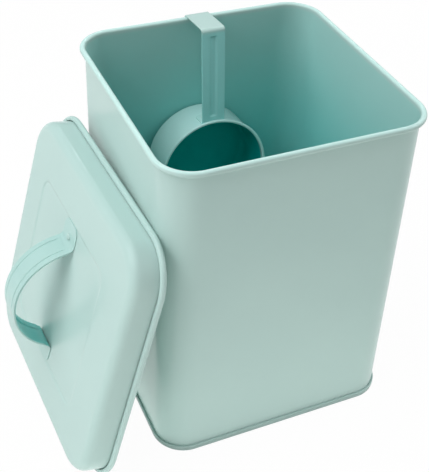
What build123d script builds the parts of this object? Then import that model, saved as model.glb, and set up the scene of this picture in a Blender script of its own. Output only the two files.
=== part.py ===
# Laundry powder bin: a square sheet-metal bin with a rolled rim and a seamed base,
# its lid taken off and leaning on the left wall, and a scoop hung over the back rim.
# Millimetres, +Z up. The origin is the centre of the bin's base, on the floor.
# The front of the bin faces -Y.

from build123d import *
from math import asin, cos, degrees, hypot, radians, sin, sqrt, tan
import os

os.makedirs("parts", exist_ok=True)

# Bin wall
body_width = 185.0
body_depth = 185.0
body_height = 255.0
body_corner = 23.0
body_sheet = 0.45
rim_radius = 2.1
roll_turn = 300.0
lap_width = 6.0
lap_end_gap = 3.0

# Base and the double seam that joins it to the wall
base_sheet = 0.45
seam_height = 4.2
seam_gap = 0.04
base_recess = 3.4
seam_round = 0.4

# Lid
lid_fit = 1.8
lid_draft = 0.9
lid_height = 22.5
lid_sheet = 0.45
lid_edge = 7.0
lid_bead_radius = 2.15
panel_corner = 12.0
panel_recess = 0.6
panel_slope = 50.0
panel_back = 3.4
panel_down = 1.2

# How the lid leans
lid_lean = 14.4
lid_yaw = 2.4
lid_shift = -3.2
lean_gap = 0.2

# Lid handle
strap_width = 22.8
strap_sheet = 0.8
strap_foot = 17.6
strap_corner = 7.0
strap_foot_gap = 0.2
arch_radius = 42.9
arch_drop = 8.8
hem_width = 4.6
hem_start = 3.0
strap_bend = 1.6

# Lid rivets
rivet_shank = 3.2
rivet_head = 5.2
rivet_dome = 1.1
rivet_tail = 4.8
rivet_tail_height = 0.8
rivet_hole_gap = 0.2
rivet_edge = 12.0

# Scoop cup
cup_diameter = 85.0
cup_depth = 38.0
cup_sheet = 0.5
cup_round = 4.0
mouth_bead_radius = 1.2

# Scoop handle
handle_width = 18.4
handle_sheet = 1.0
handle_drop = 74.0
handle_bend = 2.6
hook_drop = 13.0
hook_gap = 0.4
rest_gap = 0.1
foot_length = 13.0
foot_bend = 1.2
groove_width = 7.6
groove_depth = 0.7
groove_slope = 35.0
groove_margin = 6.5

# Scoop rivets
scoop_rivet_pitch = 9.0
scoop_rivet_shank = 2.4
scoop_rivet_head = 4.0
scoop_rivet_dome = 0.9
scoop_rivet_back = 7.5

# How the scoop hangs
scoop_tilt = 5.2
scoop_shift = 2.4
wall_seat = 0.3
foot_seat = 0.05


def rounded_path(width, depth, corner, plane):
    """Closed rounded rectangle that starts at the middle of its front side."""
    x = width / 2
    y = depth / 2
    with BuildLine(plane) as path:
        Line((0, -y), (x - corner, -y))
        RadiusArc((x - corner, -y), (x, corner - y), -corner)
        Line((x, corner - y), (x, y - corner))
        RadiusArc((x, y - corner), (x - corner, y), -corner)
        Line((x - corner, y), (corner - x, y))
        RadiusArc((corner - x, y), (-x, y - corner), -corner)
        Line((-x, y - corner), (-x, corner - y))
        RadiusArc((-x, corner - y), (corner - x, -y), -corner)
        Line((corner - x, -y), (0, -y))
    return path.line


def section_plane(plane, depth):
    """Plane across the front side of a rounded path: x is outward, y is up."""
    origin = plane.from_local_coords(Vector(0, -depth / 2, 0))
    return Plane(origin, x_dir=-plane.y_dir, z_dir=-plane.x_dir)


# Bin wall: one bent sheet with its rim rolled outward and a hook turned up at its foot
body_plane = Plane.XY
body_path = rounded_path(body_width, body_depth, body_corner, body_plane)
rim_centre = (rim_radius - body_sheet, body_height - rim_radius)
hook_in = base_sheet + 2 * seam_gap
hook_out = hook_in + body_sheet
hook_top = seam_height - base_sheet - seam_gap
wall_foot = base_sheet + seam_gap

with BuildPart() as bin_wall:
    with BuildSketch(section_plane(body_plane, body_depth)):
        with BuildLine():
            outer_roll = CenterArc(rim_centre, rim_radius, 180, -roll_turn)
            inner_roll = CenterArc(rim_centre, rim_radius - body_sheet, 180, -roll_turn)
            Line(outer_roll @ 1, inner_roll @ 1)
            Polyline(
                inner_roll @ 0,
                (0, wall_foot + body_sheet),
                (hook_in, wall_foot + body_sheet),
                (hook_in, hook_top),
                (hook_out, hook_top),
                (hook_out, wall_foot),
                (-body_sheet, wall_foot),
                outer_roll @ 0,
            )
        make_face()
    sweep(path=body_path)
    # The sheet's two ends lap each other down the middle of the back
    lap_bottom = seam_height + lap_end_gap
    lap_top = body_height - 2 * rim_radius - lap_end_gap
    with BuildSketch(Plane.XY.offset(lap_bottom)):
        with Locations((0, (body_depth + body_sheet) / 2)):
            Rectangle(lap_width, body_sheet)
    extrude(amount=lap_top - lap_bottom)
bin_wall.part.label = "bin_wall"
export_step(bin_wall.part, "parts/bin_wall.step")

# Base pan: a recessed panel whose edge runs under the wall, up outside it and down into its hook
seam_out = hook_out + seam_gap + base_sheet
pan_in = -body_sheet - seam_gap - base_sheet
pan_width = body_width + 2 * (pan_in + base_sheet)
pan_depth = body_depth + 2 * (pan_in + base_sheet)
pan_corner = body_corner + pan_in + base_sheet
cover_foot = wall_foot + body_sheet + seam_gap

with BuildPart() as base_pan:
    with BuildSketch(section_plane(body_plane, body_depth)):
        with BuildLine():
            Polyline(
                (pan_in, 0),
                (seam_out, 0),
                (seam_out, seam_height),
                (seam_gap, seam_height),
                (seam_gap, cover_foot),
                (seam_gap + base_sheet, cover_foot),
                (seam_gap + base_sheet, seam_height - base_sheet),
                (seam_out - base_sheet, seam_height - base_sheet),
                (seam_out - base_sheet, base_sheet),
                (pan_in + base_sheet, base_sheet),
                (pan_in + base_sheet, base_recess + base_sheet),
                (pan_in, base_recess + base_sheet),
                close=True,
            )
        make_face()
        outer_corners = vertices().filter_by(lambda v: v.Y < seam_gap or v.X > seam_out - seam_gap)
        fillet(outer_corners, radius=seam_round)
    sweep(path=body_path)
    with BuildSketch(Plane.XY.offset(base_recess)):
        RectangleRounded(pan_width, pan_depth, pan_corner)
    extrude(amount=base_sheet)
base_pan.part.label = "base_pan"
export_step(base_pan.part, "parts/base_pan.step")

# Lid: its frame lies in the plane of the rolled edge's centre, X along the floor edge towards
# the front, Y up the slope and Z out of the top panel
rim_proud = 2 * rim_radius - body_sheet
lid_inside = body_width + 2 * (rim_proud + lid_fit)
lid_depth_inside = body_depth + 2 * (rim_proud + lid_fit)
lid_corner = body_corner + rim_proud + lid_fit + lid_sheet
lid_long = lid_depth_inside + 2 * lid_sheet
lid_wide = lid_inside + 2 * lid_sheet
bead_offset = lid_bead_radius - lid_sheet
bead_long = lid_long / 2 + bead_offset
bead_wide = lid_wide / 2 + bead_offset
bead_corner = lid_corner + bead_offset
lean = radians(lid_lean)
yaw = radians(lid_yaw)
reach_long = sin(yaw)
reach_wide = sin(lean) * cos(yaw)
bead_reach = (
    (bead_long - bead_corner) * reach_long
    + (bead_wide - bead_corner) * reach_wide
    + bead_corner * hypot(reach_long, reach_wide)
)
lid_origin = Vector(
    -body_width / 2 - lean_gap - lid_bead_radius - bead_reach,
    lid_shift,
    lid_bead_radius + bead_wide * cos(lean),
)
lid_plane = Plane(
    lid_origin,
    x_dir=(sin(yaw), -cos(yaw), 0),
    z_dir=(-cos(lean) * cos(yaw), -cos(lean) * sin(yaw), sin(lean)),
)
lid_path = rounded_path(lid_long, lid_wide, lid_corner, lid_plane)
panel_top = lid_height - lid_bead_radius
flange = 2 * lid_edge

# The handle stands in the middle of the pressed square, which is made to its length
panel_middle = lid_plane.from_local_coords(Vector(-panel_back, -panel_down, panel_top))
panel_plane = Plane(panel_middle, x_dir=lid_plane.x_dir, z_dir=lid_plane.z_dir)
foot_plane = panel_plane.offset(-panel_recess)
side_plane = Plane(foot_plane.origin, x_dir=foot_plane.y_dir, z_dir=foot_plane.x_dir)
arch_inner = arch_radius + strap_sheet
arch_outer = arch_inner + strap_sheet
arch_foot = sqrt(arch_inner**2 - arch_drop**2)
arch_shoulder = sqrt(arch_outer**2 - (arch_drop + strap_sheet) ** 2)
strap_length = 2 * (arch_foot + strap_foot)
panel_size = strap_length + 2 * (strap_foot_gap + panel_recess * tan(radians(panel_slope)))
rivet_place = strap_length / 2 - rivet_edge

with BuildPart() as lid_pan:
    with BuildSketch(section_plane(lid_plane, lid_wide)):
        with BuildLine():
            bead_centre = (bead_offset, 0)
            outer_bead = CenterArc(bead_centre, lid_bead_radius, 180, roll_turn)
            inner_bead = CenterArc(bead_centre, lid_bead_radius - lid_sheet, 180, roll_turn)
            Line(outer_bead @ 1, inner_bead @ 1)
            outside_line = FilletPolyline(
                inner_bead @ 0,
                (-lid_draft, panel_top),
                (-lid_draft - flange, panel_top),
                radius=lid_edge,
            )
            inside_line = FilletPolyline(
                outer_bead @ 0,
                (-lid_draft - lid_sheet, panel_top - lid_sheet),
                (-lid_draft - flange, panel_top - lid_sheet),
                radius=lid_edge - lid_sheet,
            )
            Line(outside_line @ 1, inside_line @ 1)
        make_face()
    sweep(path=lid_path)
    cover_in = 2 * (lid_draft + flange)
    with BuildSketch(lid_plane.offset(panel_top - lid_sheet)):
        RectangleRounded(lid_long - cover_in, lid_wide - cover_in, lid_corner - cover_in / 2)
    extrude(amount=lid_sheet)
    # The middle of the panel is pressed down a little, with sloping sides
    slope_lap = lid_sheet / cos(radians(panel_slope))
    with BuildSketch(panel_plane):
        RectangleRounded(panel_size + 2 * slope_lap, panel_size + 2 * slope_lap, panel_corner + slope_lap)
    extrude(amount=-(panel_recess + lid_sheet), taper=panel_slope)
    with BuildSketch(panel_plane):
        RectangleRounded(panel_size, panel_size, panel_corner)
    extrude(amount=-panel_recess, taper=panel_slope, mode=Mode.SUBTRACT)
    with BuildSketch(panel_plane):
        with Locations((0, rivet_place), (0, -rivet_place)):
            Circle(rivet_shank / 2 + rivet_hole_gap)
    extrude(amount=-2 * lid_edge, mode=Mode.SUBTRACT)
lid_pan.part.label = "lid_pan"
export_step(lid_pan.part, "parts/lid_pan.step")


# Lid handle: a strap bent into an arch with a flat foot at each end and its long edges turned under
def near(x, y):
    """Picks the vertices of a sketch that lie at plus or minus x and at y."""
    return lambda v: abs(abs(v.X) - x) < strap_sheet / 10 and abs(v.Y - y) < strap_sheet / 10


with BuildPart() as lid_handle:
    with BuildSketch(side_plane):
        with Locations((0, -arch_drop)):
            Circle(arch_outer)
            Circle(arch_inner, mode=Mode.SUBTRACT)
        with Locations((0, arch_outer / 2)):
            Rectangle(strap_length, arch_outer, mode=Mode.INTERSECT)
        for side in (-1, 1):
            with Locations((side * (arch_foot + strap_foot / 2), strap_sheet / 2)):
                Rectangle(strap_foot, strap_sheet)
        fillet(vertices().filter_by(near(arch_shoulder, strap_sheet)), radius=strap_bend)
        fillet(vertices().filter_by(near(arch_foot, 0)), radius=strap_bend + strap_sheet)
    extrude(amount=strap_width / 2, both=True)
    for side in (-1, 1):
        with BuildSketch(side_plane.offset(side * (strap_width - hem_width) / 2)):
            with Locations((0, -arch_drop)):
                Circle(arch_inner)
                Circle(arch_radius, mode=Mode.SUBTRACT)
            with Locations((0, hem_start + arch_outer / 2)):
                Rectangle(strap_length, arch_outer, mode=Mode.INTERSECT)
        extrude(amount=hem_width / 2, both=True)
    with BuildSketch(foot_plane):
        RectangleRounded(strap_width, strap_length, strap_corner)
    extrude(amount=arch_outer, mode=Mode.INTERSECT)
    with BuildSketch(foot_plane):
        with Locations((0, rivet_place), (0, -rivet_place)):
            Circle(rivet_shank / 2 + rivet_hole_gap)
    extrude(amount=strap_sheet, mode=Mode.SUBTRACT)
lid_handle.part.label = "lid_handle"
export_step(lid_handle.part, "parts/lid_handle.step")


def rivet(seat, across, outward, grip, shank, head, dome, tail, tail_height):
    """Rivet with a domed head that sits on the seat and a flat tail closed under the grip."""
    dome_radius = ((head / 2) ** 2 + dome**2) / (2 * dome)
    with BuildPart() as piece:
        with BuildSketch(Plane(seat, x_dir=across, z_dir=across.cross(outward))):
            with BuildLine():
                Polyline(
                    (0, dome),
                    (0, -grip - tail_height),
                    (tail / 2, -grip - tail_height),
                    (tail / 2, -grip),
                    (shank / 2, -grip),
                    (shank / 2, 0),
                    (head / 2, 0),
                )
                RadiusArc((head / 2, 0), (0, dome), -dome_radius)
            make_face()
        revolve(axis=Axis(seat, outward))
    return piece.part


# Lid rivets: one through each foot of the handle, closed under the panel
for name, side in (("lid_rivet_upper", 1), ("lid_rivet_lower", -1)):
    lid_rivet = rivet(
        foot_plane.from_local_coords(Vector(0, side * rivet_place, strap_sheet)),
        foot_plane.x_dir,
        foot_plane.z_dir,
        strap_sheet + lid_sheet,
        rivet_shank,
        rivet_head,
        rivet_dome,
        rivet_tail,
        rivet_tail_height,
    )
    lid_rivet.label = name
    export_step(lid_rivet, f"parts/{name}.step")

# Scoop: its frame has its origin at the centre of the rolled rim's section at the back, so the
# scoop tilts about the rim; X is to the right, Y to the back and Z along the strap
tilt = radians(scoop_tilt)
scoop_plane = Plane(
    (scoop_shift, body_depth / 2 + rim_radius - body_sheet, body_height - rim_radius),
    x_dir=(1, 0, 0),
    z_dir=(0, sin(tilt), cos(tilt)),
)
cup_radius = cup_diameter / 2
mouth_radius = cup_radius + 2 * mouth_bead_radius - cup_sheet
plate_under = rim_radius + rest_gap
plate_top = plate_under + handle_sheet
cup_axis_z = plate_under - handle_drop - mouth_radius
# The back edge of the cup rests against the inside of the back wall
wall_reach = -rim_radius - wall_seat - cup_round
cup_back = (wall_reach - (cup_axis_z + cup_radius - cup_round) * sin(tilt)) / cos(tilt) + cup_round
cup_mouth = cup_back - cup_depth
side_view = Plane(scoop_plane.origin, x_dir=scoop_plane.y_dir, z_dir=scoop_plane.x_dir)
cup_axis = Axis(scoop_plane.from_local_coords(Vector(0, 0, cup_axis_z)), scoop_plane.y_dir)
cup_plane = Plane(cup_axis.position, x_dir=scoop_plane.x_dir, z_dir=-scoop_plane.y_dir)
foot_radius = cup_radius + foot_seat
rivet_angles = [side * degrees(asin(scoop_rivet_pitch / 2 / foot_radius)) for side in (-1, 1)]
strap_front = cup_mouth + 2 * mouth_bead_radius + foot_seat
strap_back = strap_front + handle_sheet
scoop_rivet_y = strap_back + scoop_rivet_back


def radial_plane(angle):
    """Plane through a scoop rivet, with Y pointing out of the cup along the rivet."""
    outward = scoop_plane.z_dir.rotate(Axis((0, 0, 0), scoop_plane.y_dir), angle)
    across = outward.cross(scoop_plane.y_dir)
    foot = scoop_plane.from_local_coords(Vector(0, scoop_rivet_y, cup_axis_z))
    return Plane(foot, x_dir=across, z_dir=across.cross(outward))


with BuildPart() as scoop_cup:
    with BuildSketch(side_view):
        with BuildLine():
            bead_middle = (cup_mouth + mouth_bead_radius, cup_axis_z + cup_radius + mouth_bead_radius - cup_sheet)
            outer_lip = CenterArc(bead_middle, mouth_bead_radius, 270, -roll_turn)
            inner_lip = CenterArc(bead_middle, mouth_bead_radius - cup_sheet, 270, -roll_turn)
            Line(outer_lip @ 1, inner_lip @ 1)
            outside_wall = FilletPolyline(
                inner_lip @ 0,
                (cup_back, cup_axis_z + cup_radius),
                (cup_back, cup_axis_z),
                radius=cup_round,
            )
            inside_wall = FilletPolyline(
                outer_lip @ 0,
                (cup_back - cup_sheet, cup_axis_z + cup_radius - cup_sheet),
                (cup_back - cup_sheet, cup_axis_z),
                radius=cup_round - cup_sheet,
            )
            Line(outside_wall @ 1, inside_wall @ 1)
        make_face()
    revolve(axis=cup_axis)
    for angle in rivet_angles:
        hole_plane = radial_plane(angle)
        with BuildSketch(Plane(hole_plane.origin, x_dir=hole_plane.x_dir, z_dir=hole_plane.y_dir)):
            Circle(scoop_rivet_shank / 2 + rivet_hole_gap)
        extrude(amount=cup_radius + foot_seat, mode=Mode.SUBTRACT)
scoop_cup.part.label = "scoop_cup"
export_step(scoop_cup.part, "parts/scoop_cup.step")

# Scoop handle: a strap that hooks over the rim, runs forward, drops to the cup and turns back
# along the cup's wall; a groove is pressed down the drop
hook_inner = rim_radius + hook_gap
hook_outer = hook_inner + handle_sheet
foot_top = cup_axis_z + foot_radius + handle_sheet
groove_top = plate_top - handle_bend - groove_margin
groove_bottom = foot_top + groove_margin
groove_length = groove_top - groove_bottom
front_plane = Plane(
    scoop_plane.from_local_coords(Vector(0, strap_front, (groove_top + groove_bottom) / 2)),
    x_dir=scoop_plane.x_dir,
    z_dir=-scoop_plane.y_dir,
)


def on_foot(radius, y):
    """Picks the arcs of one radius about the cup's axis that lie at y along it."""
    def matches(edge):
        place = scoop_plane.to_local_coords(edge.center(CenterOf.GEOMETRY))
        return abs(edge.radius - radius) < foot_seat and abs(place.Y - y) < foot_seat
    return matches


with BuildPart() as scoop_handle:
    with BuildSketch(side_view):
        with BuildLine():
            outside_strap = FilletPolyline(
                (hook_outer, plate_top - hook_drop),
                (hook_outer, plate_top),
                (strap_front, plate_top),
                (strap_front, cup_axis_z),
                radius=handle_bend,
            )
            inside_strap = FilletPolyline(
                (hook_inner, plate_top - hook_drop),
                (hook_inner, plate_under),
                (strap_back, plate_under),
                (strap_back, cup_axis_z),
                radius=handle_bend - handle_sheet,
            )
            Line(outside_strap @ 0, inside_strap @ 0)
            Line(outside_strap @ 1, inside_strap @ 1)
        make_face()
    extrude(amount=handle_width / 2, both=True)
    # The foot follows the round of the cup
    with BuildSketch(cup_plane.offset(-strap_front)):
        Circle(foot_radius + handle_sheet)
    extrude(amount=-(strap_back - strap_front), mode=Mode.SUBTRACT)
    with BuildSketch(cup_plane.offset(-strap_front)):
        Circle(foot_radius + handle_sheet)
        Circle(foot_radius, mode=Mode.SUBTRACT)
        with Locations((0, foot_radius)):
            Rectangle(handle_width, foot_radius, mode=Mode.INTERSECT)
    extrude(amount=-(handle_sheet + foot_length))
    bend_edges = edges().filter_by(GeomType.CIRCLE)
    fillet(bend_edges.filter_by(on_foot(foot_radius, strap_front)), radius=foot_bend)
    bend_edges = edges().filter_by(GeomType.CIRCLE)
    fillet(bend_edges.filter_by(on_foot(foot_radius + handle_sheet, strap_back)), radius=foot_bend - handle_sheet)
    slope_lap = handle_sheet / cos(radians(groove_slope))
    with BuildSketch(front_plane):
        SlotOverall(groove_length + 2 * slope_lap, groove_width + 2 * slope_lap, rotation=90)
    extrude(amount=-(groove_depth + handle_sheet), taper=groove_slope)
    with BuildSketch(front_plane):
        SlotOverall(groove_length, groove_width, rotation=90)
    extrude(amount=-groove_depth, taper=groove_slope, mode=Mode.SUBTRACT)
    for angle in rivet_angles:
        hole_plane = radial_plane(angle)
        with BuildSketch(Plane(hole_plane.origin, x_dir=hole_plane.x_dir, z_dir=hole_plane.y_dir)):
            Circle(scoop_rivet_shank / 2 + rivet_hole_gap)
        extrude(amount=foot_radius + 2 * handle_sheet, mode=Mode.SUBTRACT)
scoop_handle.part.label = "scoop_handle"
export_step(scoop_handle.part, "parts/scoop_handle.step")

# Scoop rivets: two side by side through the foot and the cup
for name, angle in zip(("scoop_rivet_left", "scoop_rivet_right"), rivet_angles):
    plane = radial_plane(angle)
    scoop_rivet = rivet(
        plane.from_local_coords(Vector(0, foot_radius + handle_sheet, 0)),
        plane.x_dir,
        plane.y_dir,
        handle_sheet + foot_seat + cup_sheet + foot_seat,
        scoop_rivet_shank,
        scoop_rivet_head,
        scoop_rivet_dome,
        scoop_rivet_head,
        scoop_rivet_dome / 2,
    )
    scoop_rivet.label = name
    export_step(scoop_rivet, f"parts/{name}.step")
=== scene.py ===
# Looks of a laundry powder bin, the lid that leans on it and the scoop that hangs in it
import bpy
import bmesh
from math import asin, ceil, cos, hypot, pi, radians, sin, sqrt, tan
from mathutils import Matrix, Vector


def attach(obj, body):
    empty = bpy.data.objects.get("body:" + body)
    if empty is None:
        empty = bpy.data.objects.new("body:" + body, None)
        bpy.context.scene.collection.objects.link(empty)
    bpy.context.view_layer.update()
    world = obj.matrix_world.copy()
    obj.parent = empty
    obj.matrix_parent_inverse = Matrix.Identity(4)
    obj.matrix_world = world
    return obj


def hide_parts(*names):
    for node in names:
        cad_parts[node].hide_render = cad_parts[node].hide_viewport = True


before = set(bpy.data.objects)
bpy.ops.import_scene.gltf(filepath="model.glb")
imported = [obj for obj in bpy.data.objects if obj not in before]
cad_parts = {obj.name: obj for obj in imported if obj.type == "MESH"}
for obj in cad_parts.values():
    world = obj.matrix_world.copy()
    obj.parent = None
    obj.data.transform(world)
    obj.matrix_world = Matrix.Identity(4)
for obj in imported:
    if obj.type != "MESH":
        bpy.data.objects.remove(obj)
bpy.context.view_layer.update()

mm = 0.001
samePoint = 1e-4
poleGap = 1e-6
leastCorner = 0.05
filletSteps = 48
sharpAngle = 35
bevelSteps = 3
bevelAngle = 50
body = "root"
print("frame loaded:", sorted(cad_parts))


# Outlines, drawn in millimetres

def arcPoints(centre, radius, start, turn, steps):
    angles = [radians(start + turn * i / steps) for i in range(steps + 1)]
    return [(centre[0] + radius * cos(a), centre[1] + radius * sin(a)) for a in angles]


def linePoints(start, end, steps):
    return [tuple(Vector(start).lerp(Vector(end), i / steps)) for i in range(steps + 1)]


def bendPoints(before, corner, after, radius, steps):
    corner = Vector(corner)
    a = (Vector(before) - corner).normalized()
    b = (Vector(after) - corner).normalized()
    half = a.angle(b) / 2
    centre = corner + (a + b).normalized() * radius / sin(half)
    first = corner + a * radius / tan(half) - centre
    last = corner + b * radius / tan(half) - centre
    turn = first.angle_signed(last)
    arms = [Matrix.Rotation(-turn * i / steps, 2) @ first for i in range(steps + 1)]
    return [tuple(centre + arm) for arm in arms]


def bentLine(corners, radii, steps):
    points = [corners[0]]
    for before, corner, after, radius in zip(corners, corners[1:], corners[2:], radii):
        points += bendPoints(before, corner, after, radius, steps) if radius else [corner]
    return points + [corners[-1]]


def chain(*runs):
    joined = []
    for point in (p for run in runs for p in run):
        if not joined or (Vector(point) - Vector(joined[-1])).length > samePoint:
            joined.append(tuple(point))
    return joined


def refine(points, pitch):
    fine = [points[0]]
    for a, b in zip(points, points[1:]):
        fine += linePoints(a, b, max(1, ceil((Vector(b) - Vector(a)).length / pitch)))[1:]
    return fine


# Geometry node trees

def newTree(name, inputs):
    tree = bpy.data.node_groups.new(name, "GeometryNodeTree")
    tree.interface.new_socket("Geometry", in_out="INPUT", socket_type="NodeSocketGeometry")
    for label, kind in inputs:
        tree.interface.new_socket(label, in_out="INPUT", socket_type="NodeSocket" + kind)
    tree.interface.new_socket("Geometry", in_out="OUTPUT", socket_type="NodeSocketGeometry")
    return tree, tree.nodes.new("NodeGroupInput").outputs


def addNode(tree, kind, links=None, **settings):
    node = tree.nodes.new(kind)
    for name, value in settings.items():
        setattr(node, name, value)
    for name, source in (links or {}).items():
        if isinstance(source, bpy.types.NodeSocket):
            tree.links.new(source, node.inputs[name])
        else:
            node.inputs[name].default_value = source
    return node


def endTree(tree, made, material):
    real = addNode(tree, "GeometryNodeRealizeInstances", {"Geometry": made})
    painted = addNode(
        tree, "GeometryNodeSetMaterial", {"Geometry": real.outputs["Geometry"], "Material": material}
    )
    addNode(tree, "NodeGroupOutput", {"Geometry": painted.outputs["Geometry"]})
    return tree


def roundedSweepTree():
    # carries the object's outline round a rounded rectangle
    tree, given = newTree(
        "RoundedSweep",
        [
            ("Width", "Float"),
            ("Depth", "Float"),
            ("Corner", "Float"),
            ("Pitch", "Float"),
            ("Material", "Material"),
        ],
    )
    outline = addNode(tree, "GeometryNodeMeshToCurve", {"Mesh": given["Geometry"]})
    square = addNode(
        tree, "GeometryNodeCurvePrimitiveQuadrilateral", {"Width": given["Width"], "Height": given["Depth"]}
    )
    rounded = addNode(
        tree,
        "GeometryNodeFilletCurve",
        {"Curve": square.outputs["Curve"], "Radius": given["Corner"], "Count": filletSteps},
        mode="POLY",
    )
    spaced = addNode(
        tree,
        "GeometryNodeResampleCurve",
        {"Curve": rounded.outputs["Curve"], "Length": given["Pitch"]},
        mode="LENGTH",
    )
    level = addNode(tree, "GeometryNodeSetCurveNormal", {"Curve": spaced.outputs["Curve"]}, mode="Z_UP")
    swept = addNode(
        tree,
        "GeometryNodeCurveToMesh",
        {"Curve": level.outputs["Curve"], "Profile Curve": outline.outputs["Curve"]},
    )
    return endTree(tree, swept.outputs["Mesh"], given["Material"])


def spinTree():
    # carries the object's outline round a circle, and closes it where it meets the axis
    tree, given = newTree("Spin", [("Radius", "Float"), ("Steps", "Int"), ("Material", "Material")])
    outline = addNode(tree, "GeometryNodeMeshToCurve", {"Mesh": given["Geometry"]})
    circle = addNode(
        tree, "GeometryNodeCurvePrimitiveCircle", {"Radius": given["Radius"], "Resolution": given["Steps"]}
    )
    level = addNode(tree, "GeometryNodeSetCurveNormal", {"Curve": circle.outputs["Curve"]}, mode="Z_UP")
    swept = addNode(
        tree,
        "GeometryNodeCurveToMesh",
        {"Curve": level.outputs["Curve"], "Profile Curve": outline.outputs["Curve"]},
    )
    closed = addNode(
        tree, "GeometryNodeMergeByDistance", {"Geometry": swept.outputs["Mesh"], "Distance": poleGap}
    )
    return endTree(tree, closed.outputs["Geometry"], given["Material"])


def rivetTree():
    # sets a copy of one rivet on every point, standing along the point's own direction
    tree, given = newTree("Rivets", [("Rivet", "Object"), ("Material", "Material")])
    rivet = addNode(tree, "GeometryNodeObjectInfo", {"Object": given["Rivet"]})
    outward = addNode(
        tree, "GeometryNodeInputNamedAttribute", {"Name": "outward"}, data_type="FLOAT_VECTOR"
    )
    turned = addNode(
        tree, "FunctionNodeAlignRotationToVector", {"Vector": outward.outputs["Attribute"]}, axis="Z"
    )
    points = addNode(tree, "GeometryNodeMeshToPoints", {"Mesh": given["Geometry"]})
    placed = addNode(
        tree,
        "GeometryNodeInstanceOnPoints",
        {
            "Points": points.outputs["Points"],
            "Instance": rivet.outputs["Geometry"],
            "Rotation": turned.outputs["Rotation"],
        },
    )
    return endTree(tree, placed.outputs["Instances"], given["Material"])


def applyModifiers(piece):
    graph = bpy.context.evaluated_depsgraph_get()
    mesh = bpy.data.meshes.new_from_object(piece.evaluated_get(graph))
    piece.modifiers.clear()
    piece.data = mesh


def runTree(piece, tree, **values):
    modifier = piece.modifiers.new(tree.name, "NODES")
    modifier.node_group = tree
    for item in tree.interface.items_tree:
        if item.in_out == "INPUT" and item.name in values:
            modifier[item.identifier] = values[item.name]
    applyModifiers(piece)


# Meshes and pieces

def meshPiece(name, points, edges=(), faces=()):
    mesh = bpy.data.meshes.new(name)
    mesh.from_pydata([Vector(p) * mm for p in points], list(edges), list(faces))
    piece = bpy.data.objects.new(name, mesh)
    bpy.context.scene.collection.objects.link(piece)
    return piece


def outlinePiece(name, points, closed=True):
    # the sweep takes an outline's second number downwards
    edges = [(i, i + 1) for i in range(len(points) - 1)]
    if closed:
        edges.append((len(points) - 1, 0))
    return meshPiece(name, [(x, -y, 0) for x, y in points], edges)


def roundedRing(half, corner, height, middle, sideSteps, cornerSteps):
    corner = max(corner, leastCorner)
    arcs = []
    for signX, signY, start in ((1, 1, 0), (-1, 1, 90), (-1, -1, 180), (1, -1, 270)):
        centre = (middle[0] + signX * (half - corner), middle[1] + signY * (half - corner))
        arcs.append(arcPoints(centre, corner, start, 90, cornerSteps))
    points = []
    for arc, following in zip(arcs, arcs[1:] + arcs[:1]):
        points += arc + linePoints(arc[-1], following[0], sideSteps)[1:-1]
    return [(x, y, height) for x, y in points]


def loopPiece(name, loops):
    # closed outlines of equal count joined by quads, with the first and the last closed by a face
    count = len(loops[0])
    points = [point for loop in loops for point in loop]
    faces = []
    for low in range(0, len(points) - count, count):
        for i in range(count):
            j = (i + 1) % count
            faces.append((low + i, low + j, low + count + j, low + count + i))
    faces.append(tuple(range(count)))
    faces.append(tuple(range(len(points) - count, len(points))))
    return meshPiece(name, points, faces=faces)


def ringPiece(name, rings, sideSteps=10, cornerSteps=16):
    # each ring is a rounded square: half its side, its corner, height and middle
    return loopPiece(name, [roundedRing(*ring, sideSteps, cornerSteps) for ring in rings])


def ringsAlong(outline, half, corner):
    return [(half + x, corner + x, y, (0, 0)) for x, y in outline]


def sheetPiece(name, rows, outward):
    # a grid of points, turned so that its faces look along outward at the middle of the grid
    count = len(rows[0])
    points = [point for row in rows for point in row]
    faces = []
    for r in range(len(rows) - 1):
        for c in range(count - 1):
            a = r * count + c
            faces.append((a, a + 1, a + count + 1, a + count))
    piece = meshPiece(name, points, faces=faces)
    middle = piece.data.polygons[(len(rows) // 2) * (count - 1) + count // 2]
    if middle.normal.dot(Vector(outward)) < 0:
        piece.data.flip_normals()
    return piece


def thicken(piece, thickness, edge):
    shell = piece.modifiers.new("Sheet", "SOLIDIFY")
    shell.thickness = thickness * mm
    shell.offset = -1
    shell.use_even_offset = True
    rounding = piece.modifiers.new("Edge", "BEVEL")
    rounding.width = edge * mm
    rounding.segments = bevelSteps
    rounding.limit_method = "ANGLE"
    rounding.angle_limit = radians(bevelAngle)
    applyModifiers(piece)


def placement(origin, xAxis, zAxis):
    xAxis, zAxis = Vector(xAxis).normalized(), Vector(zAxis).normalized()
    turn = Matrix((xAxis, zAxis.cross(xAxis), zAxis)).transposed().to_4x4()
    return Matrix.Translation(Vector(origin) * mm) @ turn


def smooth(t):
    t = min(1.0, max(0.0, t))
    return t * t * (3 - 2 * t)


# How a face's direction decides its painted light: inner faces and undersides get a painted shade that
# deepens their colour, the crests of rolled edges a painted highlight that lightens it

paintedLightByFacing = {"inwardGain": 3, "levelGain": 2, "crestGain": 2, "crestStart": 0.7}


def inwardShadeShare(cosine):
    return smooth(cosine * paintedLightByFacing["inwardGain"])


def levelShadeShare(cosine):
    return smooth(cosine * paintedLightByFacing["levelGain"])


def crestHighlightShare(cosine):
    return smooth(cosine * paintedLightByFacing["crestGain"] - paintedLightByFacing["crestStart"])


def closeShell(mesh):
    shell = bmesh.new()
    shell.from_mesh(mesh)
    bmesh.ops.remove_doubles(shell, verts=shell.verts, dist=samePoint * mm)
    bmesh.ops.recalc_face_normals(shell, faces=shell.faces)
    shell.to_mesh(mesh)
    shell.free()


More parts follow.
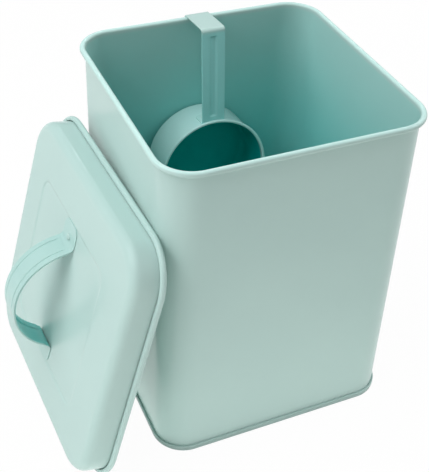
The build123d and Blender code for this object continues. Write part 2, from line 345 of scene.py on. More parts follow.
def finish(piece, material, nodes, matrix=None, paintedLightAt=None):
    # the function given here sets each point's painted light: painted shade, from 0 to 1, on the piece's
    # inner faces and undersides, and painted highlight, from 0 to -1, on the crests of rolled edges
    mesh = piece.data
    closeShell(mesh)
    if paintedLightAt is not None:
        paintedShadeAndHighlight = mesh.attributes.new("paintedShadeAndHighlight", "FLOAT", "POINT")
        for entry, point in zip(paintedShadeAndHighlight.data, mesh.vertices):
            entry.value = paintedLightAt(point.co / mm, point.normal)
    if matrix is not None:
        mesh.transform(matrix)
    mesh.shade_smooth()
    mesh.set_sharp_from_angle(angle=radians(sharpAngle))
    mesh.materials.clear()
    mesh.materials.append(material)
    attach(piece, body)
    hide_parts(*nodes)
    print(piece.name, "faces:", len(mesh.polygons))


# Powder coat: satin, with the slight orange peel of sprayed and baked paint, a painted shade on inner faces
# and a painted highlight on the crests of rolled edges

coat = {
    "colour": (0.465, 0.635, 0.60, 1),
    "colourWorn": (0.51, 0.685, 0.64, 1),
    # the next two colours are painted light: a deeper painted shade for inner faces and undersides, and a
    # lighter painted highlight for the crests of rolled edges
    "colourInside": (0.21, 0.62, 0.59, 1),
    "colourPaintedHighlight": (0.55, 0.77, 0.73, 1),
    "roughness": 0.3,
    "roughnessSpread": 0.05,
    "sheen": 0.1,
    "sheenTint": (0.75, 1, 0.96, 1),
    "gloss": 0.25,
    "glossRoughness": 0.1,
    "cloudScale": 14,
    "cloudFrom": 0.35,
    "cloudTo": 0.75,
    "wornShare": 0.35,
    "peelScale": 900,
    "peelHeight": 0.00001,
    "waveScale": 11,
    "waveHeight": 0.0004,
}


def mixColours(tree, share, first, second):
    # the node's sockets share their names between kinds, so those of colours go by number
    firstColour, secondColour, mixedColour = 6, 7, 2
    mixed = addNode(
        tree, "ShaderNodeMix", {"Factor": share, firstColour: first, secondColour: second}, data_type="RGBA"
    )
    return mixed.outputs[mixedColour]


def powderCoat(name, **changes):
    look = {**coat, **changes}
    material = bpy.data.materials.new(name)
    material.use_nodes = True
    tree = material.node_tree
    shader = tree.nodes["Principled BSDF"]
    place = addNode(tree, "ShaderNodeTexCoord").outputs["Object"]
    cloud = addNode(tree, "ShaderNodeTexNoise", {"Vector": place, "Scale": look["cloudScale"], "Detail": 4})
    peel = addNode(tree, "ShaderNodeTexNoise", {"Vector": place, "Scale": look["peelScale"], "Detail": 2})
    wave = addNode(tree, "ShaderNodeTexNoise", {"Vector": place, "Scale": look["waveScale"], "Detail": 0})
    blend = addNode(
        tree,
        "ShaderNodeMapRange",
        {
            "Value": cloud.outputs["Fac"],
            "From Min": look["cloudFrom"],
            "From Max": look["cloudTo"],
            "To Max": look["wornShare"],
        },
    )
    # painted light from each point: its painted shade deepens the colour, its painted highlight lightens it
    paintedShadeAndHighlight = addNode(tree, "ShaderNodeAttribute", attribute_name="paintedShadeAndHighlight").outputs["Fac"]
    crestHighlight = addNode(tree, "ShaderNodeMath", {0: paintedShadeAndHighlight, 1: -1.0}, operation="MULTIPLY", use_clamp=True)
    colour = mixColours(tree, blend.outputs["Result"], look["colour"], look["colourWorn"])
    colour = mixColours(tree, paintedShadeAndHighlight, colour, look["colourInside"])
    colour = mixColours(tree, crestHighlight.outputs["Value"], colour, look["colourPaintedHighlight"])
    shader.inputs["Specular IOR Level"].default_value = look["sheen"]
    shader.inputs["Specular Tint"].default_value = look["sheenTint"]
    shader.inputs["Coat Weight"].default_value = look["gloss"]
    shader.inputs["Coat Roughness"].default_value = look["glossRoughness"]
    rough = addNode(
        tree,
        "ShaderNodeMapRange",
        {
            "Value": peel.outputs["Fac"],
            "To Min": look["roughness"] - look["roughnessSpread"],
            "To Max": look["roughness"] + look["roughnessSpread"],
        },
    )
    low = addNode(
        tree, "ShaderNodeBump", {"Height": wave.outputs["Fac"], "Distance": look["waveHeight"], "Strength": 1}
    )
    fine = addNode(
        tree,
        "ShaderNodeBump",
        {
            "Height": peel.outputs["Fac"],
            "Distance": look["peelHeight"],
            "Strength": 1,
            "Normal": low.outputs["Normal"],
        },
    )
    tree.links.new(colour, shader.inputs["Base Color"])
    tree.links.new(rough.outputs["Result"], shader.inputs["Roughness"])
    tree.links.new(fine.outputs["Normal"], shader.inputs["Normal"])
    return material


binCoat = powderCoat("BinCoat")
lidCoat = powderCoat("LidCoat")
handleCoat = powderCoat("HandleCoat", peelScale=1200, colour=(0.42, 0.63, 0.595, 1))
# the cup and the scoop's strap have their own colours of painted shade
cupCoat = powderCoat(
    "CupCoat", peelScale=1200, colour=(0.47, 0.735, 0.715, 1), colourInside=(0.0, 0.45, 0.42, 1)
)
scoopCoat = powderCoat("ScoopCoat", peelScale=1200, colourInside=(0.37, 0.72, 0.70, 1))
rivetCoat = powderCoat("RivetCoat", peelScale=1500, waveHeight=0)
roundedSweep = roundedSweepTree()
spin = spinTree()
rivets = rivetTree()
print("trees and paint ready")


# Bin wall: one bent sheet with a rolled rim and a hook at its foot

wall = {
    "width": 185.0,
    "depth": 185.0,
    "height": 255.0,
    "corner": 23.0,
    "sheet": 0.45,
    "rimRadius": 2.1,
    "rollTurn": 300.0,
    "rollSteps": 30,
    "rimFade": 2.5,
    # painted shade on the wall's inner faces: its share just below the rim, and the depth over which it grows
    # to full
    "paintedShadeTop": 0.36,
    "paintedShadeDepth": 120.0,
    "foot": 0.49,
    "hookHeight": 3.71,
    "hookGap": 0.53,
    "pathPitch": 2.4,
    "wallPitch": 12.0,
    "lapWidth": 6.0,
    "lapSteps": 4,
    "lapLow": 7.2,
    "lapHigh": 247.8,
}

rimCentre = (wall["rimRadius"] - wall["sheet"], wall["height"] - wall["rimRadius"])
rimOuter = arcPoints(rimCentre, wall["rimRadius"], 180, -wall["rollTurn"], wall["rollSteps"])
rimHollow = wall["rimRadius"] - wall["sheet"]
rimInner = arcPoints(rimCentre, rimHollow, 180, -wall["rollTurn"], wall["rollSteps"])
footLine = [
    rimInner[0],
    (0, rimInner[0][1] - wall["rimFade"] / 2),
    (0, rimInner[0][1] - wall["rimFade"]),
    (0, wall["foot"] + wall["sheet"]),
    (wall["hookGap"], wall["foot"] + wall["sheet"]),
    (wall["hookGap"], wall["hookHeight"]),
    (wall["hookGap"] + wall["sheet"], wall["hookHeight"]),
    (wall["hookGap"] + wall["sheet"], wall["foot"]),
    (-wall["sheet"], wall["foot"]),
    (-wall["sheet"], rimOuter[0][1] - wall["rimFade"]),
    (-wall["sheet"], rimOuter[0][1] - wall["rimFade"] / 2),
    rimOuter[0],
]
wallOutline = chain(rimOuter, reversed(rimInner), refine(footLine, wall["wallPitch"]))
binWall = outlinePiece("BinWall", wallOutline[:-1])
runTree(
    binWall,
    roundedSweep,
    Width=wall["width"] * mm,
    Depth=wall["depth"] * mm,
    Corner=wall["corner"] * mm,
    Pitch=wall["pathPitch"] * mm,
    Material=binCoat,
)


def binPaintedLight(point, normal):
    # painted shade: the inner faces get a deeper colour, stronger downwards, standing in for the dim bounced
    # light in the bin; the rolled rim's crests get a painted highlight
    towardsMiddle = -normal.to_2d().dot(point.to_2d().normalized())
    down = wall["height"] - wall["rimFade"] - point.z
    if down < 0:
        return -crestHighlightShare(normal.z)
    depth = wall["paintedShadeTop"] + (1 - wall["paintedShadeTop"]) * smooth(down / wall["paintedShadeDepth"])
    return inwardShadeShare(towardsMiddle) * smooth(down / wall["rimFade"]) * depth


finish(binWall, binCoat, ["bin_wall"], paintedLightAt=binPaintedLight)

lapBack = wall["depth"] / 2
lapOutline = bentLine(
    [
        (-wall["lapWidth"] / 2, 0),
        (-wall["lapWidth"] / 2, wall["sheet"]),
        (wall["lapWidth"] / 2, wall["sheet"]),
        (wall["lapWidth"] / 2, 0),
    ],
    [wall["sheet"] / 2] * 2,
    wall["lapSteps"],
)
lapEnds = (wall["lapLow"], wall["lapHigh"])
lapSeam = loopPiece("LapSeam", [[(x, lapBack + y, z) for x, y in lapOutline] for z in lapEnds])
finish(lapSeam, binCoat, ["bin_wall"])


# Base pan: the recessed base and the double seam round the wall's foot

base = {
    "sheet": 0.45,
    "seamHeight": 4.2,
    "seamOut": 1.47,
    "seamGap": 0.04,
    "panIn": -0.94,
    "recess": 3.4,
    "coverFoot": 0.98,
    "round": 0.42,
    "foldRound": 0.5,
    "roundSteps": 6,
    "cornerSteps": 18,
    "panelStart": 12.0,
}

baseOutside = bentLine(
    [
        (-base["panelStart"], base["recess"]),
        (base["panIn"], base["recess"]),
        (base["panIn"], 0),
        (base["seamOut"], 0),
        (base["seamOut"], base["seamHeight"]),
        (base["seamGap"], base["seamHeight"]),
        (base["seamGap"], base["coverFoot"]),
        (base["seamGap"] + base["sheet"], base["coverFoot"]),
    ],
    [base["round"], base["round"], base["foldRound"], base["foldRound"], base["round"] / 2, 0],
    base["roundSteps"],
)
baseInside = bentLine(
    [
        (base["seamGap"] + base["sheet"], base["coverFoot"]),
        (base["seamGap"] + base["sheet"], base["seamHeight"] - base["sheet"]),
        (base["seamOut"] - base["sheet"], base["seamHeight"] - base["sheet"]),
        (base["seamOut"] - base["sheet"], base["sheet"]),
        (base["panIn"] + base["sheet"], base["sheet"]),
        (base["panIn"] + base["sheet"], base["recess"] + base["sheet"]),
        (-base["panelStart"], base["recess"] + base["sheet"]),
    ],
    [0, 0, 0, 0, base["round"]],
    base["roundSteps"],
)
baseRings = ringsAlong(chain(baseOutside, baseInside), wall["width"] / 2, wall["corner"])
basePan = ringPiece("BasePan", baseRings, cornerSteps=base["cornerSteps"])


def fromWall(point):
    # how far a point stands outside the wall's outer face, less than 0 within it
    flat = wall["width"] / 2 - wall["corner"]
    return hypot(max(0, abs(point.x) - flat), max(0, abs(point.y) - flat)) - wall["corner"]


def basePaintedShade(point, normal):
    # painted shade on the base's upward face within the bin
    onTop = fromWall(point) < base["panIn"] / 2 and point.z > base["recess"] + base["sheet"] / 2
    return levelShadeShare(normal.z) if onTop else 0


finish(basePan, binCoat, ["base_pan"], paintedLightAt=basePaintedShade)


# Lid: pressed from one sheet, with a drafted skirt, a rolled edge and a shallow pressed square

lid = {
    "half": 98.5,
    "corner": 29.0,
    "sheet": 0.45,
    "height": 22.5,
    "beadRadius": 2.15,
    "rollTurn": 300.0,
    "rollSteps": 30,
    "draft": 0.9,
    "edge": 7.0,
    "edgeSteps": 12,
    "pitch": 5,
    "panelSteps": 8,
    "square": 61.3,
    "squareCorner": 12.0,
    "squareSink": 0.6,
    "squareSlope": 2.2,
    "slopeSteps": 8,
    "slopeLead": 0.3,
    "slopeMargin": 1,
    "floorMargin": 8,
    "floorCorner": 8,
    "squareBack": 3.4,
    "squareDown": 1.2,
    "lean": 14.4,
    "yaw": 2.4,
    "shift": -3.2,
    "gap": 0.2,
}

beadOffset = lid["beadRadius"] - lid["sheet"]
beadHalf = lid["half"] + beadOffset
beadCorner = lid["corner"] + beadOffset
lean, yaw = radians(lid["lean"]), radians(lid["yaw"])
beadReach = (
    (beadHalf - beadCorner) * (sin(yaw) + sin(lean) * cos(yaw))
    + beadCorner * hypot(sin(yaw), sin(lean) * cos(yaw))
)
lidPlace = placement(
    (
        -wall["width"] / 2 - lid["gap"] - lid["beadRadius"] - beadReach,
        lid["shift"],
        lid["beadRadius"] + beadHalf * cos(lean),
    ),
    (sin(yaw), -cos(yaw), 0),
    (-cos(lean) * cos(yaw), -cos(lean) * sin(yaw), sin(lean)),
)
panelTop = lid["height"] - lid["beadRadius"]
flange = 2 * lid["edge"]
squareMiddle = (-lid["squareBack"], -lid["squareDown"])


def lidPanelRings(top):
    # from the flange to the floor of the pressed square
    start, startCorner = lid["half"] - lid["draft"] - flange, lid["corner"] - lid["draft"] - flange
    rings = []
    for i in range(1, lid["panelSteps"]):
        t = i / lid["panelSteps"]
        half = start + (lid["square"] + lid["slopeMargin"] - start) * t
        corner = startCorner + (lid["squareCorner"] + lid["slopeMargin"] - startCorner) * t
        rings.append((half, corner, top, (squareMiddle[0] * t, squareMiddle[1] * t)))
    for i in range(lid["slopeSteps"] + 1):
        t = i / lid["slopeSteps"]
        out = lid["slopeLead"] - lid["squareSlope"] * t
        height = top - lid["squareSink"] * smooth(t)
        rings.append((lid["square"] + out, lid["squareCorner"] + out, height, squareMiddle))
    floorHalf = lid["square"] - lid["floorMargin"]
    rings.append((floorHalf, lid["floorCorner"], top - lid["squareSink"], squareMiddle))
    return rings


skirtOutside = bentLine(
    [(0, 0), (-lid["draft"], panelTop), (-lid["draft"] - flange, panelTop)], [lid["edge"]], lid["edgeSteps"]
)
skirtInside = bentLine(
    [
        (-lid["sheet"], 0),
        (-lid["draft"] - lid["sheet"], panelTop - lid["sheet"]),
        (-lid["draft"] - flange, panelTop - lid["sheet"]),
    ],
    [lid["edge"] - lid["sheet"]],
    lid["edgeSteps"],
)
beadCentre = (beadOffset, 0)
beadOuter = arcPoints(beadCentre, lid["beadRadius"], 180, lid["rollTurn"], lid["rollSteps"])
beadInner = arcPoints(beadCentre, beadOffset, 180, lid["rollTurn"], lid["rollSteps"])
skirt = chain(
    reversed(refine(skirtInside, lid["pitch"])),
    beadOuter,
    reversed(beadInner),
    refine(skirtOutside, lid["pitch"]),
)
lidRings = (
    list(reversed(lidPanelRings(panelTop - lid["sheet"])))
    + ringsAlong(skirt, lid["half"], lid["corner"])
    + lidPanelRings(panelTop)
)
lidPan = ringPiece("LidPan", lidRings)
finish(lidPan, lidCoat, ["lid_pan"], matrix=lidPlace)


# Lid handle: an arched strap with its long edges folded under, on two flat feet

strap = {
    "width": 22.8,
    "sheet": 0.8,
    "foot": 17.6,
    "footCorner": 7.0,
    "archRadius": 44.5,
    "archDrop": 8.8,
    "shoulder": 4.5,
    "shoulderSteps": 8,
    "footSteps": 22,
    "margin": 4.6,
    "marginDrop": 0.15,
    "fold": 0.8,
    "foldStart": 3.0,
    "foldFade": 3.0,
    "foldLap": 1,
    "foldSlope": 0.8,
    # height over which the painted shade under the strap fades in
    "undersideShadeFade": 2,
    "crease": 0.6,
    "creaseWidth": 0.6,
    "edge": 0.35,
    "edgeSteps": 5,
    "columns": 96,
    "pitch": 1.1,
}

squareFloor = lidPlace @ Matrix.Translation(
    Vector((squareMiddle[0], squareMiddle[1], panelTop - lid["squareSink"])) * mm
)
footEnd = sqrt((strap["archRadius"] - strap["sheet"]) ** 2 - strap["archDrop"] ** 2) + strap["foot"]
centreDown = strap["archDrop"] + strap["sheet"]
shoulderTurn = strap["archRadius"] + strap["shoulder"]
shoulderPlace = sqrt(shoulderTurn**2 - (centreDown + strap["shoulder"]) ** 2)
shoulderAngle = pi / 2 - asin((centreDown + strap["shoulder"]) / shoulderTurn)


def strapLine():
    # half of the strap's outer face, from the middle of the arch to the end of a foot
    archSteps = ceil(strap["archRadius"] * shoulderAngle / strap["pitch"])
    line = []
    for i in range(archSteps + 1):
        a = shoulderAngle * i / archSteps
        line.append((strap["archRadius"] * sin(a), strap["archRadius"] * cos(a) - centreDown, a))
    for i in range(1, strap["shoulderSteps"] + 1):
        a = shoulderAngle * (1 - i / strap["shoulderSteps"])
        line.append((shoulderPlace - strap["shoulder"] * sin(a), strap["shoulder"] * (1 - cos(a)), a))
    for i in range(1, strap["footSteps"] + 1):
        t = sin(pi / 2 * i / strap["footSteps"])
        line.append((shoulderPlace + (footEnd - shoulderPlace) * t, 0, 0))
    return line


def strapSection(half, folded):
    # one closed outline across the strap, with each long edge folded under where folded is 1
    thick = strap["sheet"] + strap["fold"] * folded
    edge = min(thick / 2, strap["edge"])
    fold = half - strap["margin"]
    flat = half - edge
    top, under = [], []
    for c in range(strap["columns"] + 1):
        u = flat * (2 * c / strap["columns"] - 1)
        crease = 1 - smooth(abs(abs(u) - fold) / strap["creaseWidth"])
        top.append((u, strap["sheet"] - strap["crease"] * crease * folded))
        step = smooth((abs(u) - fold + strap["foldLap"]) / strap["foldSlope"])
        under.append((u, -strap["fold"] * folded * step))
    right = arcPoints((flat, strap["sheet"] - edge), edge, 90, -90, strap["edgeSteps"])
    right += arcPoints((flat, strap["sheet"] - thick + edge), edge, 0, -90, strap["edgeSteps"])
    left = [(-u, h) for u, h in reversed(right)]
    return top[:-1] + right + under[-2:0:-1] + left[:-1]


def strapLoop(v, w, angle, side):
    fromEnd = footEnd - v
    corner = strap["footCorner"]
    half = strap["width"] / 2
    if fromEnd < corner:
        half -= corner - sqrt(max(0, corner**2 - (corner - fromEnd) ** 2))
    folded = smooth((w - strap["foldStart"]) / strap["foldFade"])
    loop = []
    for u, h in strapSection(half, folded):
        outer = smooth((abs(u) - half + strap["margin"]) / strap["margin"])
        depth = strap["sheet"] - h + strap["marginDrop"] * folded * outer
        loop.append((u, side * (v - depth * sin(angle)), strap["sheet"] + w - depth * cos(angle)))
    return loop


def handlePaintedShade(point, normal):
    # painted shade on the strap's underside, fading out near the feet
    return levelShadeShare(-normal.z) * smooth(point.z / strap["undersideShadeFade"])


halfLine = strapLine()
strapLoops = [strapLoop(*point, -1) for point in reversed(halfLine[1:])]
strapLoops += [strapLoop(*point, 1) for point in halfLine]
lidHandle = loopPiece("LidHandle", strapLoops)
finish(lidHandle, handleCoat, ["lid_handle"], matrix=squareFloor, paintedLightAt=handlePaintedShade)


# Rivets: a domed head, a shank and a closed tail

rivetForm = {"steps": 28, "domeSteps": 10, "undercut": 0.05, "seat": 0.02, "tailDraft": 0.1}
lidRivet = {
    "head": 5.2,
    "dome": 1.4,
    "shank": 3.2,
    "tail": 4.8,
    "tailHeight": 0.8,
    "grip": 1.25,
    "fromEnd": 12.0,
}
scoopRivet = {
    "head": 4.0,
    "dome": 0.9,
    "shank": 2.4,
    "tail": 4.0,
    "tailHeight": 0.45,
    "grip": 1.6,
    "pitch": 9.0,
    "back": 7.5,
}


def rivetPiece(name, size):
    headRadius = size["head"] / 2
    shankRadius = size["shank"] / 2
    tailRadius = size["tail"] / 2
    tailEnd = -size["grip"] - size["tailHeight"]
    outline = []
    for i in range(rivetForm["domeSteps"] + 1):
        a = pi / 2 * i / rivetForm["domeSteps"]
        outline.append((headRadius * sin(a), size["dome"] * cos(a)))
    outline += [
        (headRadius - rivetForm["undercut"], -rivetForm["seat"]),
        (shankRadius, -rivetForm["seat"]),
        (shankRadius, -size["grip"]),
        (tailRadius, -size["grip"]),
        (tailRadius - rivetForm["tailDraft"], tailEnd),
        (0, tailEnd),
    ]
    steps = rivetForm["steps"]
    points = []
    for i in range(steps):
        a = 2 * pi * i / steps
        points += [(r * cos(a), r * sin(a), z) for r, z in outline]
    count = len(outline)
    faces = []
    for i in range(steps):
        here, there = i * count, (i + 1) % steps * count
        faces += [(here + k, there + k, there + k + 1, here + k + 1) for k in range(count - 1)]
    piece = meshPiece(name, points, faces=faces)
    closeShell(piece.data)
    return piece


def rivetPair(name, size, places, outwards, nodes, matrix):
    pattern = rivetPiece(name + "Pattern", size)
    pair = meshPiece(name, places)
    direction = pair.data.attributes.new("outward", "FLOAT_VECTOR", "POINT")
    for entry, outward in zip(direction.data, outwards):
        entry.vector = outward
    runTree(pair, rivets, Rivet=pattern, Material=rivetCoat)
    bpy.data.objects.remove(pattern)
    finish(pair, rivetCoat, nodes, matrix=matrix)


rivetPlace = footEnd - lidRivet["fromEnd"]
rivetPair(
    "LidRivets",
    lidRivet,
    [(0, rivetPlace, strap["sheet"]), (0, -rivetPlace, strap["sheet"])],
    [(0, 0, 1)] * 2,
    ["lid_rivet_upper", "lid_rivet_lower"],
    squareFloor,
)


# Scoop: a drawn cup with a rolled lip, carried by a strap that hooks over the rim at the back

scoop = {
    "diameter": 85.0,
    "depth": 38.0,
    "sheet": 0.5,
    "round": 4.0,
    "lipRadius": 1.2,
    "lipFade": 2,
    "rollTurn": 300.0,
    "rollSteps": 20,
    "roundSteps": 10,
    "pitch": 4,
    "tilt": 5.2,
    "shift": 2.4,
    "wallSeat": 0.3,
    "footSeat": 0.05,
    "restGap": 0.1,
    "steps": 168,
}
scoopStrap = {
    "width": 18.4,
    "sheet": 1.0,
    "drop": 74.0,
    "bend": 2.6,
    "hookDrop": 13.0,
    "hookGap": 0.4,
    "foot": 13.0,
    "footBend": 1.2,
    "groove": 7.6,
    "grooveDepth": 0.9,
    "grooveSlope": 2.8,
    "grooveEnd": 0.6,
    "grooveMarginTop": 3.5,
    "grooveMarginLow": 4.0,
    # the painted shade on the strap: its fade below the plate, its fade onto the foot, and how much of it the
    # foot loses
    "dropShadeFade": 4,
    "footFade": 2,
    "footShadeCut": 0.5,
    "bendSteps": 8,
    "corner": 1.6,
    "edge": 0.25,
    "columns": 56,
    "pitch": 0.7,
}

tilt = radians(scoop["tilt"])
cupRadius = scoop["diameter"] / 2
mouthRadius = cupRadius + 2 * scoop["lipRadius"] - scoop["sheet"]
plateUnder = wall["rimRadius"] + scoop["restGap"]
plateTop = plateUnder + scoopStrap["sheet"]
cupAxis = plateUnder - scoopStrap["drop"] - mouthRadius
wallReach = -wall["rimRadius"] - scoop["wallSeat"] - scoop["round"]
cupBack = (wallReach - (cupAxis + cupRadius - scoop["round"]) * sin(tilt)) / cos(tilt) + scoop["round"]
cupMouth = cupBack - scoop["depth"]
scoopPlace = placement(
    (
        scoop["shift"],
        wall["depth"] / 2 + wall["rimRadius"] - wall["sheet"],
        wall["height"] - wall["rimRadius"],
    ),
    (1, 0, 0),
    (0, sin(tilt), cos(tilt)),
)
cupPlace = scoopPlace @ placement((0, 0, cupAxis), (1, 0, 0), (0, 1, 0))

lipCentre = (mouthRadius - scoop["lipRadius"] - cupRadius, cupMouth + scoop["lipRadius"])
lipHollow = scoop["lipRadius"] - scoop["sheet"]
lipTop = cupMouth + 2 * scoop["lipRadius"]
lipOuter = arcPoints(lipCentre, scoop["lipRadius"], 180, scoop["rollTurn"], scoop["rollSteps"])
lipInner = arcPoints(lipCentre, lipHollow, 180, scoop["rollTurn"], scoop["rollSteps"])
innerBack = cupBack - scoop["sheet"]
cupInside = bentLine(
    [(-scoop["sheet"], lipCentre[1]), (-scoop["sheet"], innerBack), (-cupRadius, innerBack)],
    [scoop["round"] - scoop["sheet"]],
    scoop["roundSteps"],
)
cupOutside = bentLine(
    [(0, lipCentre[1]), (0, cupBack), (-cupRadius, cupBack)], [scoop["round"]], scoop["roundSteps"]
)
cupOutline = chain(
    reversed(refine(cupInside, scoop["pitch"])),
    lipOuter,
    reversed(lipInner),
    refine(cupOutside, scoop["pitch"]),
)
scoopCup = outlinePiece("ScoopCup", cupOutline, closed=False)
runTree(scoopCup, spin, Radius=cupRadius * mm, Steps=scoop["steps"], Material=cupCoat)


def cupPaintedLight(point, normal):
    # painted highlight on the lip's crests, painted shade on the cup's inner faces beyond the lip
    towardsAxis = -normal.to_2d().dot(point.to_2d()) / max(point.to_2d().length, 1)
    if point.z < lipTop:
        return -crestHighlightShare(-normal.z)
    return inwardShadeShare(max(towardsAxis, -normal.z)) * smooth((point.z - lipTop) / scoop["lipFade"])


finish(scoopCup, cupCoat, ["scoop_cup"], matrix=cupPlace, paintedLightAt=cupPaintedLight)

hookOuter = wall["rimRadius"] + scoopStrap["hookGap"] + scoopStrap["sheet"]
strapFront = lipTop + scoop["footSeat"]
footRadius = cupRadius + scoop["footSeat"]
footUnder = cupAxis + footRadius
grooveTop = plateTop - scoopStrap["bend"] - scoopStrap["grooveMarginTop"]
grooveBottom = footUnder + scoopStrap["sheet"] + scoopStrap["grooveMarginLow"]
grooveHalf = scoopStrap["groove"] / 2
hookEnd = (hookOuter, plateTop - scoopStrap["hookDrop"])
footBack = (strapFront + scoopStrap["sheet"] + scoopStrap["foot"], footUnder)

scoopLine = refine(
    bentLine(
        [hookEnd, (hookOuter, plateTop), (strapFront, plateTop), (strapFront, footUnder), footBack],
        [scoopStrap["bend"], scoopStrap["bend"], scoopStrap["footBend"]],
        scoopStrap["bendSteps"],
    ),
    scoopStrap["pitch"],
)


def grooveSink(x, z):
    # how far the strap's face is pressed in at one point of the drop
    across = smooth((grooveHalf - abs(x)) / scoopStrap["grooveSlope"])
    along = smooth(min(grooveTop - z, z - grooveBottom) / scoopStrap["grooveEnd"])
    return scoopStrap["grooveDepth"] * across * along


def scoopRow(y, z):
    fromEnd = min((Vector((y, z)) - Vector(end)).length for end in (hookEnd, footBack))
    corner = scoopStrap["corner"]
    half = scoopStrap["width"] / 2
    if fromEnd < corner:
        half -= corner - sqrt(corner**2 - (corner - fromEnd) ** 2)
    onDrop = abs(y - strapFront) < samePoint
    bendTop = footUnder + scoopStrap["footBend"]
    follow = min(1, max(0, (grooveBottom - z) / (grooveBottom - bendTop)))
    row = []
    for c in range(scoopStrap["columns"] + 1):
        x = half * (2 * c / scoopStrap["columns"] - 1)
        fall = follow * (footRadius - sqrt(footRadius**2 - x**2))
        row.append((x, y + (grooveSink(x, z) if onDrop else 0), z - fall))
    return row


scoopHandle = sheetPiece("ScoopHandle", [scoopRow(*point) for point in scoopLine], (0, -1, 0))
thicken(scoopHandle, scoopStrap["sheet"], scoopStrap["edge"])


def strapPaintedShade(point, normal):
    # painted shade on the drop that hangs within the bin, and at half strength on the foot that lies on the
    # cup
    if point.y > -wall["rimRadius"] * 2 and point.z > grooveBottom:
        return 0
    onFoot = smooth((point.y - strapFront - 2 * scoopStrap["sheet"]) / scoopStrap["footFade"])
    below = smooth((plateUnder - point.z) / scoopStrap["dropShadeFade"])
    return (1 - scoopStrap["footShadeCut"] * onFoot) * below


finish(scoopHandle, scoopCoat, ["scoop_handle"], matrix=scoopPlace, paintedLightAt=strapPaintedShade)

rivetRadius = footRadius + scoopStrap["sheet"]
rivetAngles = [side * asin(scoopRivet["pitch"] / 2 / footRadius) for side in (-1, 1)]
rivetBack = strapFront + scoopStrap["sheet"] + scoopRivet["back"]
rivetPair(
    "ScoopRivets",
    scoopRivet,
    [(rivetRadius * sin(a), rivetBack, cupAxis + rivetRadius * cos(a)) for a in rivetAngles],
    [(sin(a), 0, cos(a)) for a in rivetAngles],
    ["scoop_rivet_left", "scoop_rivet_right"],
    scoopPlace,
)


# Floor, light and camera

studio = {
    "floorHalf": 4000.0,
    "floorColour": (0.88, 0.87, 0.85, 1),
    "floorRoughness": 0.7,
    "floorWhite": 0.97,
    "horizonLight": 0.15,
    "zenithLight": 0.36,
    "aim": (0.0, 0.0, 0.12),
}
lamps = {
    "SteepLight": {"place": (-0.7, 0.1, 1.4), "size": (1.3, 1.3), "power": 16.0, "colour": (0.98, 1, 1.02)},
    "RightLight": {"place": (1.5, 0.0, 0.9), "size": (1.2, 1.2), "power": 12.0, "colour": (1, 1, 1)},
    "BackLight": {"place": (0.65, 1.35, 1.35), "size": (1.2, 0.1), "power": 4.0, "colour": (0.95, 1, 1.04)},
    "LeftLight": {"place": (-1.5, -0.2, 0.9), "size": (1.5, 1.5), "power": 6.6, "colour": (1, 1, 1)},
    "LowLight": {"place": (-0.25, -0.5, 0.05), "size": (0.3, 0.3), "power": 0.3, "colour": (1, 1, 0.98)},
    "FloorLight": {
        "place": (-0.02, -0.228, 0.003),
        "size": (0.38, 0.26),
        "power": 0.18,
        "colour": (1, 1, 0.98),
        "aim": (-0.02, -0.228, 1.0),
    },
    "GapLight": {
        "place": (-0.118, -0.046, 0.003),
        "size": (0.04, 0.1),
        "power": 0.02,
        "colour": (1, 1, 0.98),
        "aim": (-0.118, -0.046, 1.0),
    },
}
view = {
    "target": (5.231, 39.983, 127.5),
    "distance": 772.874,
    "azimuth": -25.38,
    "elevation": 36.56,
    "roll": 3.04,
    "lens": 74.27,
    "clipEnd": 100,
    "shift": (-0.0169, -0.0969),
}


def shownWhite(tree, rays):
    # 1 for the rays that show the background as white, and 0 for those that light the object
    path = addNode(tree, "ShaderNodeLightPath")
    total = path.outputs["Is Camera Ray"]
    for name in rays:
        total = addNode(
            tree, "ShaderNodeMath", {0: total, 1: path.outputs[name]}, operation="MAXIMUM"
        ).outputs["Value"]
    return total


def floorMaterial():
    material = bpy.data.materials.new("Floor")
    material.use_nodes = True
    tree = material.node_tree
    paint = tree.nodes["Principled BSDF"]
    paint.inputs["Base Color"].default_value = studio["floorColour"]
    paint.inputs["Roughness"].default_value = studio["floorRoughness"]
    white = addNode(tree, "ShaderNodeEmission", {"Strength": 1.0})
    seen = shownWhite(tree, ["Is Glossy Ray", "Is Transmission Ray"])
    share = addNode(tree, "ShaderNodeMath", {0: seen, 1: studio["floorWhite"]}, operation="MULTIPLY")
    mixed = addNode(tree, "ShaderNodeMixShader", {"Fac": share.outputs["Value"]})
    tree.links.new(paint.outputs["BSDF"], mixed.inputs[1])
    tree.links.new(white.outputs["Emission"], mixed.inputs[2])
    tree.links.new(mixed.outputs["Shader"], tree.nodes["Material Output"].inputs["Surface"])
    return material


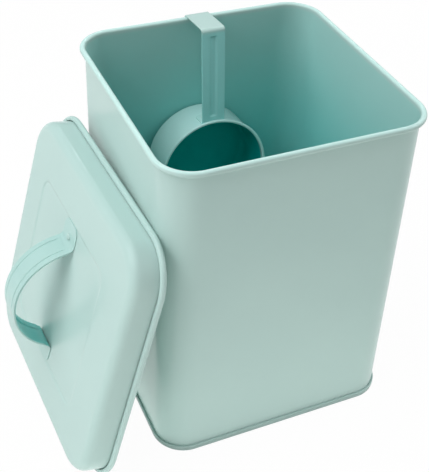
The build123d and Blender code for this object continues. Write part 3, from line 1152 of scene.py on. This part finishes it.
def softbox(name, place, size, power, colour, aim=studio["aim"]):
    light = bpy.data.lights.new(name, "AREA")
    light.shape = "RECTANGLE"
    light.size, light.size_y = size
    light.energy = power
    light.color = colour
    lamp = bpy.data.objects.new(name, light)
    bpy.context.scene.collection.objects.link(lamp)
    lamp.location = place
    lamp.rotation_euler = (Vector(aim) - Vector(place)).to_track_quat("-Z", "Y").to_euler()
    lamp.visible_camera = False
    lamp.visible_glossy = aim == studio["aim"]


def studioWorld():
    # a soft dome, brighter overhead than near the horizon
    world = bpy.data.worlds.new("Studio")
    world.use_nodes = True
    sky = world.node_tree
    direction = addNode(sky, "ShaderNodeTexCoord").outputs["Generated"]
    height = addNode(sky, "ShaderNodeSeparateXYZ", {"Vector": direction}).outputs["Z"]
    dome = addNode(
        sky,
        "ShaderNodeMapRange",
        {"Value": height, "To Min": studio["horizonLight"], "To Max": studio["zenithLight"]},
    )
    seen = shownWhite(sky, ["Is Transmission Ray"])
    level = addNode(sky, "ShaderNodeMix", {"Factor": seen, "A": dome.outputs["Result"], "B": 1.0})
    sky.nodes["Background"].inputs["Color"].default_value = (1, 1, 1, 1)
    sky.links.new(level.outputs["Result"], sky.nodes["Background"].inputs["Strength"])
    return world


side = studio["floorHalf"]
floorCorners = [(-side, -side, 0), (side, -side, 0), (side, side, 0), (-side, side, 0)]
floor = meshPiece("Floor", floorCorners, faces=[(0, 1, 2, 3)])
floor.data.materials.append(floorMaterial())
bpy.context.scene.world = studioWorld()
for name, lamp in lamps.items():
    softbox(name, **lamp)

azimuth, elevation = radians(view["azimuth"]), radians(view["elevation"])
back = Vector((sin(azimuth) * cos(elevation), -cos(azimuth) * cos(elevation), sin(elevation)))
camera = bpy.data.objects.new("Camera", bpy.data.cameras.new("Camera"))
bpy.context.scene.collection.objects.link(camera)
camera.data.lens = view["lens"]
camera.data.shift_x, camera.data.shift_y = view["shift"]
camera.data.clip_end = view["clipEnd"]
turn = (-back).to_track_quat("-Z", "Y").to_matrix() @ Matrix.Rotation(radians(view["roll"]), 3, "Z")
eye = (Vector(view["target"]) + back * view["distance"]) * mm
camera.matrix_world = Matrix.Translation(eye) @ turn.to_4x4()
bpy.context.scene.camera = camera
bpy.context.scene.view_settings.view_transform = "Standard"
print("floor, light and camera ready")
